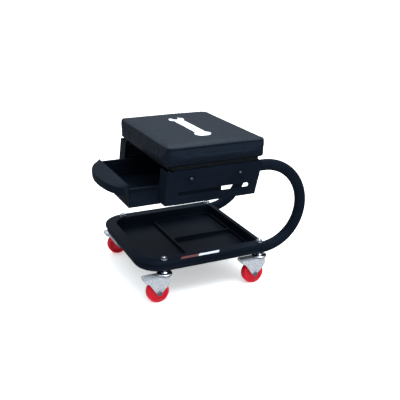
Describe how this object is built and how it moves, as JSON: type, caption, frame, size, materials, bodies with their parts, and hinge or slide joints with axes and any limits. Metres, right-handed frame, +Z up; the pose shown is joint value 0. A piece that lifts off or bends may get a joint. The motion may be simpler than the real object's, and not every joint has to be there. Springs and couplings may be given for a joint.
{
  "type": "mechanics creeper seat",
  "caption": "Rolling mechanic's creeper seat: padded seat over a sliding drawer, bent-tube frame, sunk tool tray and swivel casters.",
  "frame": {"origin": "on the floor under the middle of the rest bounding box, drawer pulled out as in the picture", "axes": "+X away from the drawer's pull, towards the frame's two big bends; +Y to the far side; +Z up"},
  "size_m": [0.567, 0.4086, 0.435],
  "materials": {
    "black_powder_coat": "semi-gloss powder coat, slightly orange-peeled",
    "seat_vinyl": "fine-grained vinyl with a soft sheen",
    "seat_board": "dark stained plywood",
    "wheel_red": "smooth polyurethane",
    "caster_zinc": "bright zinc plate",
    "race_chrome": "bright",
    "fastener_zinc": "zinc plate",
    "runner_steel": "black, worn on the sliding faces",
    "stop_rubber": "matt",
    "plug_plastic": "moulded"
  },
  "bodies": {
    "frame": {"caster_stem_left_far": "race_chrome", "caster_stem_left_near": "race_chrome", "caster_stem_right_far": "race_chrome", "caster_stem_right_near": "race_chrome", "drawer_runner_far": "runner_steel", "drawer_runner_near": "runner_steel", "drawer_stop_far": "stop_rubber", "drawer_stop_near": "stop_rubber", "frame_tube": "black_powder_coat", "panel_bolt_left_far": "fastener_zinc", "panel_bolt_left_near": "fastener_zinc", "panel_bolt_right_far": "fastener_zinc", "panel_bolt_right_near": "fastener_zinc", "panel_nut_left_far": "fastener_zinc", "panel_nut_left_near": "fastener_zinc", "panel_nut_right_far": "fastener_zinc", "panel_nut_right_near": "fastener_zinc", "seat_board": "seat_board", "seat_bolt_left_far": "fastener_zinc", "seat_bolt_left_near": "fastener_zinc", "seat_bolt_right_far": "fastener_zinc", "seat_bolt_right_near": "fastener_zinc", "seat_cushion": "seat_vinyl", "side_panel_far": "black_powder_coat", "side_panel_near": "black_powder_coat", "stem_nut_left_far": "fastener_zinc", "stem_nut_left_near": "fastener_zinc", "stem_nut_right_far": "fastener_zinc", "stem_nut_right_near": "fastener_zinc", "stem_washer_left_far": "fastener_zinc", "stem_washer_left_near": "fastener_zinc", "stem_washer_right_far": "fastener_zinc", "stem_washer_right_near": "fastener_zinc", "tray": "black_powder_coat", "tube_plug_far": "plug_plastic", "tube_plug_near": "plug_plastic"},
    "drawer": {"drawer_box": "black_powder_coat", "drawer_front": "black_powder_coat"},
    "swivel_left_near": {"caster_fork_left_near": "caster_zinc", "axle_bolt_left_near": "fastener_zinc", "axle_nut_left_near": "fastener_zinc", "axle_sleeve_left_near": "fastener_zinc"},
    "roller_left_near": {"wheel_left_near": "wheel_red"},
    "swivel_left_far": {"caster_fork_left_far": "caster_zinc", "axle_bolt_left_far": "fastener_zinc", "axle_nut_left_far": "fastener_zinc", "axle_sleeve_left_far": "fastener_zinc"},
    "roller_left_far": {"wheel_left_far": "wheel_red"},
    "swivel_right_near": {"caster_fork_right_near": "caster_zinc", "axle_bolt_right_near": "fastener_zinc", "axle_nut_right_near": "fastener_zinc", "axle_sleeve_right_near": "fastener_zinc"},
    "roller_right_near": {"wheel_right_near": "wheel_red"},
    "swivel_right_far": {"caster_fork_right_far": "caster_zinc", "axle_bolt_right_far": "fastener_zinc", "axle_nut_right_far": "fastener_zinc", "axle_sleeve_right_far": "fastener_zinc"},
    "roller_right_far": {"wheel_right_far": "wheel_red"}
  },
  "joints": [
    {"name": "drawer_slide", "type": "slide", "parent": "frame", "child": "drawer", "axis": [-1, 0, 0], "range_m": [-0.086, 0.0995]},
    {"name": "caster_swivel_left_near", "type": "hinge", "parent": "frame", "child": "swivel_left_near", "pos_m": [-0.15504, -0.18, 0.0781], "axis": [0, 0, 1], "continuous": true},
    {"name": "wheel_spin_left_near", "type": "hinge", "parent": "swivel_left_near", "child": "roller_left_near", "pos_m": [-0.17704, -0.18, 0.03175], "axis": [0, 1, 0], "continuous": true},
    {"name": "caster_swivel_left_far", "type": "hinge", "parent": "frame", "child": "swivel_left_far", "pos_m": [-0.15504, 0.18, 0.0781], "axis": [0, 0, 1], "continuous": true},
    {"name": "wheel_spin_left_far", "type": "hinge", "parent": "swivel_left_far", "child": "roller_left_far", "pos_m": [-0.17704, 0.18, 0.03175], "axis": [0, 1, 0], "continuous": true},
    {"name": "caster_swivel_right_near", "type": "hinge", "parent": "frame", "child": "swivel_right_near", "pos_m": [0.13796, -0.18, 0.0781], "axis": [0, 0, 1], "continuous": true},
    {"name": "wheel_spin_right_near", "type": "hinge", "parent": "swivel_right_near", "child": "roller_right_near", "pos_m": [0.11596, -0.18, 0.03175], "axis": [0, 1, 0], "continuous": true},
    {"name": "caster_swivel_right_far", "type": "hinge", "parent": "frame", "child": "swivel_right_far", "pos_m": [0.13796, 0.18, 0.0781], "axis": [0, 0, 1], "continuous": true},
    {"name": "wheel_spin_right_far", "type": "hinge", "parent": "swivel_right_far", "child": "roller_right_far", "pos_m": [0.11596, 0.18, 0.03175], "axis": [0, 1, 0], "continuous": true}
  ]
}
